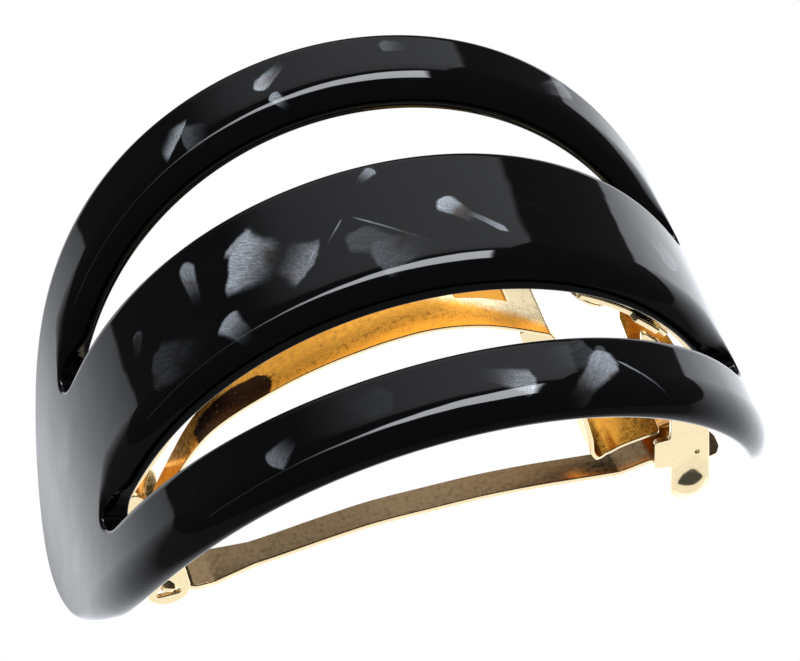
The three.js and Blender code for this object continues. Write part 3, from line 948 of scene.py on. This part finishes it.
def new_material(name):
    """A material, its node builder, its shader and its flat-blank and cut-edge attributes."""
    material = bpy.data.materials.new(name)
    material.use_nodes = True
    n = Nodes(material.node_tree)
    blank = n.add("ShaderNodeAttribute", attribute_name="flat").outputs["Vector"]
    cut_edge = n.add("ShaderNodeAttribute", attribute_name="cut_edge").outputs["Fac"]
    return material, n, material.node_tree.nodes["Principled BSDF"], blank, cut_edge


# Pearl flakes in the acetate's flat blank: centre (along, across), half length, half width, turn in degrees,
# brightness. A flake ends in a crisp edge towards its turn and fades into the black the other way.
FLAKES = [
    (-17.2, 1.3, 4.5, 6.0, 148, 1.0),
    (-18.0, 3.9, 3.2, 3.0, 115, 0.9),
    (-12.7, -0.9, 3.2, 4.6, 319, 0.6),
    (0.9, -5.0, 4.6, 4.0, 187, 0.34),
    (-0.6, -4.4, 6.5, 3.0, 140, 0.28),
    (-11.6, -3.2, 3.3, 0.16, 54, 0.9),
    (-7.0, 0.6, 3.0, 0.16, 50, 0.7),
    (1.1, -1.9, 7.5, 0.2, 140, 0.6),
    (9.4, 0.0, 3.2, 2.0, 132, 0.95),
    (11.8, -1.5, 4.4, 0.7, 319, 0.8),
    (-0.6, 8.6, 1.9, 1.1, 39, 0.75),
    (-26.5, 4.0, 4.2, 1.5, 89, 0.8),
    (-22.7, -6.8, 2.9, 2.2, 117, 0.9),
    (-31.3, -5.2, 5.6, 4.5, 158, 0.22),
    (-37.1, 1.9, 2.6, 1.2, 73, 0.3),
    (6.6, -29.2, 4.2, 2.5, 339, 0.65),
    (17.9, -30.0, 6.2, 2.3, 46, 0.95),
    (19.5, -26.7, 3.1, 0.9, 54, 0.35),
    (26.5, -29.0, 5.0, 0.25, 151, 0.8),
    (15.4, -26.6, 4.6, 3.2, 13, 0.25),
    (-22.2, -28.2, 2.6, 2.2, 202, 0.6),
    (-22.6, 28.3, 1.4, 3.8, 318, 0.9),
    (-18.9, 26.9, 2.4, 2.6, 169, 0.35),
    (-7.2, 31.2, 3.2, 1.5, 217, 1.0),
    (-7.2, 26.3, 1.8, 1.1, 124, 0.8),
    (10.2, 31.6, 2.6, 1.5, 170, 0.35),
    (-11.3, -28.0, 4.3, 3.0, 3, 0.1),
    (33.0, 27.5, 4.0, 2.5, 20, 0.6),
    (42.0, 2.0, 5.0, 3.5, 300, 0.5),
    (60.0, -8.0, 5.0, 3.5, 120, 0.7),
    (-58.0, 7.0, 6.0, 4.0, 220, 0.3),
    (-64.0, -9.0, 6.0, 3.0, 160, 0.3),
]


def flake_group():
    """Node group: brightness of one flake at a point of the blank, given in the flake's own frame."""
    group = bpy.data.node_groups.new("pearl_flake", "ShaderNodeTree")
    group.interface.new_socket("Local", in_out="INPUT", socket_type="NodeSocketVector")
    group.interface.new_socket("Flat", in_out="INPUT", socket_type="NodeSocketVector")
    group.interface.new_socket("Wobble", in_out="INPUT", socket_type="NodeSocketVector")
    group.interface.new_socket("Brightness", in_out="INPUT", socket_type="NodeSocketFloat")
    group.interface.new_socket("Value", in_out="OUTPUT", socket_type="NodeSocketFloat")
    n = Nodes(group)
    source = n.add("NodeGroupInput")
    shifted = n.vector_math("ADD", source.outputs["Local"], source.outputs["Wobble"]).outputs[0]
    ahead, sideways, deep = n.parts(shifted)
    bowed = n.math("MULTIPLY_ADD", n.times(sideways, sideways), 0.35, ahead)
    crisp = n.remap(bowed, 1.0, 0.84)
    fade = n.remap(ahead, -1.0, 0.85)
    taper = n.math("MAXIMUM", n.math("MULTIPLY_ADD", ahead, 0.3, 0.75), 0.3)
    aside = n.remap(n.math("DIVIDE", n.math("ABSOLUTE", sideways), taper), 1.05, 0.6)
    near = n.remap(n.math("ABSOLUTE", deep), 1.0, 0.7)
    body = n.times(n.times(crisp, aside), n.times(fade, near))
    grain = n.noise(n.mapped(source.outputs["Local"], scale=(2.2, 16.0, 3.0)), 1.8, 4.0, 0.65, 0.6)
    fine = n.noise(n.mapped(source.outputs["Flat"], scale=(4.0, 7.0, 4.0)), 1.0, 2.0, 0.6)
    brushed = n.times(n.remap(grain, 0.3, 0.7, 0.6, 1.1), n.remap(fine, 0.3, 0.7, 0.75, 1.1))
    value = n.times(n.times(body, brushed), source.outputs["Brightness"])
    n.add("NodeGroupOutput", inputs={"Value": value})
    return group


def pearl_share(n, blank):
    """How much of the pearl shows at each point of the acetate: flakes with wavering outlines, and wisps."""
    waves = n.add("ShaderNodeTexNoise", inputs={"Vector": blank, "Scale": 0.28, "Detail": 3})
    centred = n.vector_math("SUBTRACT", waves.outputs["Color"], (0.5, 0.5, 0.5))
    wobble = n.add("ShaderNodeVectorMath", operation="SCALE", inputs={0: centred.outputs[0], "Scale": 0.45})
    group = flake_group()
    total = 0.0
    for along, across, half_length, half_width, turn, brightness in FLAKES:
        local = n.mapped(
            blank,
            location=(along, across, FLAKE_DEPTH),
            rotation=(0, 0, math.radians(turn)),
            scale=(half_length, half_width, FLAKE_HALF_DEPTH),
            kind="TEXTURE",
        )
        entries = {"Local": local, "Flat": blank, "Wobble": wobble.outputs[0], "Brightness": brightness}
        flake = n.add("ShaderNodeGroup", node_tree=group, inputs=entries)
        total = n.math("MAXIMUM", flake.outputs["Value"], total)
    cloud = n.noise(n.mapped(blank, scale=(0.09, 0.13, 0.2)), 1.0, 5.0, 0.6, 1.2)
    wisps = n.remap(cloud, 0.52, 0.8, 0.0, 0.04)
    return n.math("POWER", n.math("ADD", total, wisps, clamp=True), PEARL_CONTRAST)


def acetate_surface(n, blank, cut_edge):
    """Soft swells all over the polish, and fine tool marks on the cut edges near the slots' tips."""
    swell = n.noise(n.mapped(blank, scale=(0.11, 0.11, 0.11)), 1.0, 2.0, 0.4)
    polish = n.bump(swell, 0.00016, 0.5)
    near_tips = n.remap(n.math("ABSOLUTE", n.parts(blank)[0]), 44.0, 54.0, 0.06, 1.0)
    marks = n.noise(n.mapped(blank, scale=(2.6, 2.6, 0.05)), 1.0, 2.0, 0.6)
    marks = n.times(n.times(marks, n.remap(cut_edge, 0.8, 1.0)), near_tips)
    return n.bump(marks, 0.00005, 0.5, polish)


def acetate_material():
    """Black acetate with pearl flakes under a clear polish."""
    material, n, shader, blank, cut_edge = new_material("black_pearl_acetate")
    pearl = pearl_share(n, blank)
    tint = n.noise(n.mapped(blank, scale=(0.16, 0.2, 0.2)), 1.0, 2.0, 0.5, 0.6)
    silver = n.mix(n.remap(tint, 0.56, 0.72), PEARL_SILVER, PEARL_BROWN)
    n.feed(shader.inputs["Base Color"], n.mix(pearl, ACETATE_BLACK, silver))
    haze = n.noise(n.mapped(blank, scale=(0.35, 0.35, 0.35)), 1.0, 3.0, 0.5)
    n.feed(shader.inputs["Roughness"], n.remap(haze, 0.3, 0.7, 0.36, 0.5))
    n.feed(shader.inputs["Metallic"], n.times(pearl, PEARL_METAL))
    shader.inputs["IOR"].default_value = 1.5
    shader.inputs["Specular IOR Level"].default_value = 0.0
    shader.inputs["Coat Weight"].default_value = 1.0
    shader.inputs["Coat Roughness"].default_value = 0.04
    shader.inputs["Coat IOR"].default_value = 1.5
    surface = acetate_surface(n, blank, cut_edge)
    n.feed(shader.inputs["Normal"], surface)
    n.feed(shader.inputs["Coat Normal"], surface)
    return material


def plain_tone(colour):
    """The same gold everywhere."""
    return lambda n, along, across: colour


def spanned_tone(ends, middle, span):
    """One gold with another over the middle span."""
    first, last = span

    def tone(n, along, across):
        begun = n.remap(along, first - 10, first + 10)
        ended = n.remap(along, last - 3, last + 3, 1.0, 0.0)
        return n.mix(n.times(begun, ended), ends, middle)

    return tone


def bow_painted_reflections(n, along, across):
    """Painted reflections on the bow: amber, a painted gold-on-gold reflection, where it rises from its hinge
    and round a painted dark lens-shaped reflection, and a painted pale highlight from its crown to its knee.
    """
    # pale: a painted highlight where the bow faces the light; amber elsewhere is painted gold-on-gold
    # reflection
    pale_side = n.math("MULTIPLY_ADD", along, 0.27, across)
    pale = n.times(n.remap(pale_side, 16.4, 18.4), n.remap(along, 88, 94, 1.0, 0.0))
    gold = n.mix(pale, AMBER_GOLD, PALE_GOLD)
    squares = []
    # the lens-shaped patch: a painted dark reflection
    for place, centre, half_size in zip((along, across), PAINTED_REFLECTION_CENTRE, PAINTED_REFLECTION_HALF_SIZE):
        scaled = n.math("MULTIPLY_ADD", place, 1 / half_size, -centre / half_size)
        squares.append(n.times(scaled, scaled))
    return n.mix(n.remap(n.math("ADD", *squares), 1.05, 0.85), gold, PAINTED_REFLECTION_BROWN)


def gilt_material(name, tone, dull_share, roughness):
    """Polished gold plating in the given tone, with pale cut edges, dull spots and soft swells."""
    material, n, shader, blank, cut_edge = new_material(name)
    shader.inputs["Metallic"].default_value = 1.0
    along, across, _ = n.parts(blank)
    broad = n.noise(n.mapped(blank, scale=(0.25, 0.3, 0.25)), 1.0, 3.0, 0.6)
    drift = n.math("MULTIPLY_ADD", broad, 9.0, along)
    speck = n.noise(n.mapped(blank, scale=(1.3, 1.3, 1.3)), 1.0, 4.0, 0.65)
    dull = n.remap(speck, 0.62 - dull_share, 0.78 - dull_share, 0.0, 0.7)
    # the tone carries the painted reflections of the bow and the bar, with tarnish spots mixed on top
    tone_and_tarnish = n.mix(dull, tone(n, drift, across), TARNISH)
    n.feed(shader.inputs["Base Color"], n.mix(n.remap(cut_edge, 0.5, 1.0), tone_and_tarnish, PALE_GOLD))
    n.feed(shader.inputs["Roughness"], n.remap(speck, 0.3, 0.75, roughness * 0.8, roughness * 1.6))
    lines = n.noise(n.mapped(blank, scale=(0.5, 7.0, 7.0)), 1.0, 3.0, 0.6)
    fine = n.bump(lines, 0.000006, 0.4)
    swell = n.noise(n.mapped(blank, scale=(0.3, 0.3, 0.3)), 1.0, 2.0, 0.5)
    n.feed(shader.inputs["Normal"], n.bump(swell, 0.00006, 0.5, fine))
    return material


# ---- stage, light and camera ----
def table_level(n, direction, x, z):
    """Bright table below a slightly tilted horizon, brightest behind the barrette."""
    back = n.vector_math("DOT_PRODUCT", direction, TABLE_AXIS)
    horizon = n.math("ADD", z, n.times(x, 0.05))
    below = n.remap(horizon, -0.12, -0.095, 1.0, 0.0)
    level = n.remap(back.outputs["Value"], 0.15, 0.95, 0.04, 1.0, smooth=False)
    return n.times(n.times(below, level), n.remap(x, -0.3, 0.3, 1.8, 1.45))


def panel_level(n, x, y, z):
    """Dim wall panel high behind the barrette."""
    across = n.times(n.remap(x, -0.5, -0.2), n.remap(x, 0.615, 0.635, 1.0, 0.0))
    panel = n.times(n.times(across, n.remap(y, 0.4, 0.5)), n.remap(z, 0.3, 0.36))
    return n.times(panel, n.remap(x, -0.5, 0.35, 0.3, 0.6))


def softbox_level(n, x, y, z):
    """Overhead strip that widens and slants towards +X."""
    across = n.times(n.remap(x, -0.8, -0.1, 0.05, 1.0), n.remap(x, 0.54, 0.57, 1.0, 0.0))
    centre = n.math("MULTIPLY_ADD", x, STRIP_SLANT, STRIP_MIDDLE)
    half = n.remap(x, -0.7, 0.55, 0.03, 0.18)
    offset = n.math("ABSOLUTE", n.math("SUBTRACT", y, centre))
    box = n.times(across, n.remap(n.math("SUBTRACT", half, offset), 0.0, 0.03))
    return n.times(n.times(box, n.remap(z, 0.1, 0.2)), SOFTBOX)


def make_world():
    """Plain studio round the barrette: a table, a panel and a softbox in a dark room, seen as plain white."""
    world = bpy.data.worlds.new("studio")
    bpy.context.scene.world = world
    world.use_nodes = True
    n = Nodes(world.node_tree)
    background = world.node_tree.nodes["Background"]
    direction = n.add("ShaderNodeTexCoord").outputs["Generated"]
    x, y, z = n.parts(direction)
    backdrop = n.math("ADD", table_level(n, direction, x, z), panel_level(n, x, y, z))
    total = n.math("ADD", backdrop, n.math("ADD", softbox_level(n, x, y, z), ROOM))
    seen = n.add("ShaderNodeLightPath").outputs["Is Camera Ray"]
    n.feed(background.inputs["Strength"], n.math("MAXIMUM", total, n.times(seen, SEEN_WHITE)))
    background.inputs["Color"].default_value = WORLD_TINT


def only_seen_by_camera(piece):
    piece.visible_diffuse = False
    piece.visible_glossy = False
    piece.visible_transmission = False
    piece.visible_volume_scatter = False
    piece.visible_shadow = False


def white_from_above():
    """Plain white that is clear from below."""
    material = bpy.data.materials.new("white_table")
    material.use_nodes = True
    material.node_tree.nodes.clear()
    n = Nodes(material.node_tree)
    glow = n.add("ShaderNodeEmission", inputs={"Color": (1, 1, 1, 1), "Strength": 1.0})
    clear = n.add("ShaderNodeBsdfTransparent")
    under = n.add("ShaderNodeNewGeometry").outputs["Backfacing"]
    one_sided = n.add("ShaderNodeMixShader", inputs={0: under, 1: glow.outputs[0], 2: clear.outputs[0]})
    n.add("ShaderNodeOutputMaterial", inputs={"Surface": one_sided.outputs[0]})
    return material


def make_floor(level):
    """Plain white table top, low enough for the open bar, that only the camera sees."""
    signs = [(-1, -1), (1, -1), (1, 1), (-1, 1)]
    mesh = bpy.data.meshes.new("table_top")
    mesh.from_pydata([(FLOOR_REACH * x, FLOOR_REACH * y, level) for x, y in signs], [], [(0, 1, 2, 3)])
    mesh.materials.append(white_from_above())
    table = bpy.data.objects.new("table_top", mesh)
    bpy.context.scene.collection.objects.link(table)
    only_seen_by_camera(table)


def make_card(name, direction, size, radiance, pieces):
    """White card that only the given metal pieces see; the polished acetate shows none of it."""
    data = bpy.data.lights.new(name, "AREA")
    data.shape = "RECTANGLE"
    data.size, data.size_y = size
    data.energy = math.pi * data.size * data.size_y * radiance
    card = bpy.data.objects.new(name, data)
    away = Vector(direction).normalized()
    card.location = away * CARD_DISTANCE
    card.rotation_euler = away.to_track_quat("Z", "Y").to_euler()
    card.visible_camera = False
    bpy.context.scene.collection.objects.link(card)
    lit = bpy.data.collections.new(name + "_lit")
    for piece in pieces:
        lit.objects.link(piece)
    card.light_linking.receiver_collection = lit
    card.light_linking.blocker_collection = bpy.data.collections.new(name + "_blockers")


def make_camera():
    data = bpy.data.cameras.new("camera")
    data.lens = CAMERA_LENS
    data.sensor_width = CAMERA_SENSOR
    data.clip_start = 0.01
    camera = bpy.data.objects.new("camera", data)
    bpy.context.scene.collection.objects.link(camera)
    turn = Matrix.Rotation(-math.radians(CAMERA_AZIMUTH), 4, "Z")
    tilt = Matrix.Rotation(math.radians(90 + CAMERA_ELEVATION), 4, "X")
    roll = Matrix.Rotation(math.radians(CAMERA_ROLL), 4, "Z")
    camera.matrix_world = Matrix.Translation(Vector(CAMERA_PLACE) * MM) @ turn @ tilt @ roll
    bpy.context.scene.camera = camera


# ---- assembly ----
def fit(piece, body, nodes, material):
    piece.data.materials.append(material)
    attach(piece, body)
    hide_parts(*nodes)


def make_mounting():
    """The clip's fixed pieces with the nodes they replace."""
    mounting = [
        (make_base(), "base_plate"),
        (make_ear(-1, "hinge_ear_front"), "base_plate"),
        (make_ear(1, "hinge_ear_rear"), "base_plate"),
        (make_saddle(), "catch_saddle"),
        (make_catch_rivet(), "catch_rivet"),
    ]
    return mounting + [(make_rivet(name + "_turned", arc), name) for name, arc in RIVET_SITES.items()]


def make_barrette():
    acetate = acetate_material()
    gilt = gilt_material("pale_gilt", plain_tone(PALE_GOLD), 0.0, 0.12)
    bow_gilt = gilt_material("amber_gilt", bow_painted_reflections, 0.03, 0.2)
    # an amber copy of the gold for the rear pieces in shade: painted shade and painted gold-on-gold
    # reflection
    shaded_gilt = gilt_material("shaded_gilt", plain_tone(AMBER_GOLD), 0.05, 0.16)
    # the swing bar's brown gold is a painted dark reflection of the plate above it, with worn dull spots on
    # top
    bar_gilt = gilt_material("worn_dark_reflection_gilt", spanned_tone(BROWN_GOLD, COPPER_GOLD, (52, 66)), 0.12, 0.16)

    mounting = make_mounting()
    front_gusset = make_gusset(-1, "bow_gusset_front")
    rear_gusset = make_gusset(1, "bow_gusset_rear")
    bow = [make_bow(), make_bow_pin()]
    front_arm = make_arm(-1, "catch_arm_front_leaf")
    rear_arm = make_arm(1, "catch_arm_rear_leaf")
    bar = make_bar()

    fit(make_plate(), "mounting", ["plate"], acetate)
    for piece, node in mounting:
        fit(piece, "mounting", [node], gilt)
    for piece in bow:
        fit(piece, "bow", ["bow_spring"], bow_gilt)
    fit(front_gusset, "bow", ["bow_spring"], gilt)
    fit(rear_gusset, "bow", ["bow_spring"], shaded_gilt)
    fit(bar, "bar", ["swing_bar"], bar_gilt)
    fit(front_arm, "front_arm", ["catch_arm_front"], gilt)
    fit(rear_arm, "rear_arm", ["catch_arm_rear"], shaded_gilt)

    clip = [piece for piece, _ in mounting] + bow + [front_gusset, rear_gusset, front_arm]
    make_card("front_card", (0.15, -0.66, -0.74), (2.4, 0.9), 0.85, clip + [bar])
    make_card("sky_card", (0.1, 0.64, 0.76), (1.4, 0.6), 0.8, clip)
    make_card("side_card", (0.74, 0.66, 0.05), (0.5, 0.9), 0.9, clip)


def main():
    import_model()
    cad_low, cad_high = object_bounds()
    bpy.context.scene.view_settings.view_transform = "Standard"
    make_camera()
    make_world()
    make_floor(cad_low[2] - OPEN_BAR_REACH)
    make_barrette()


main()
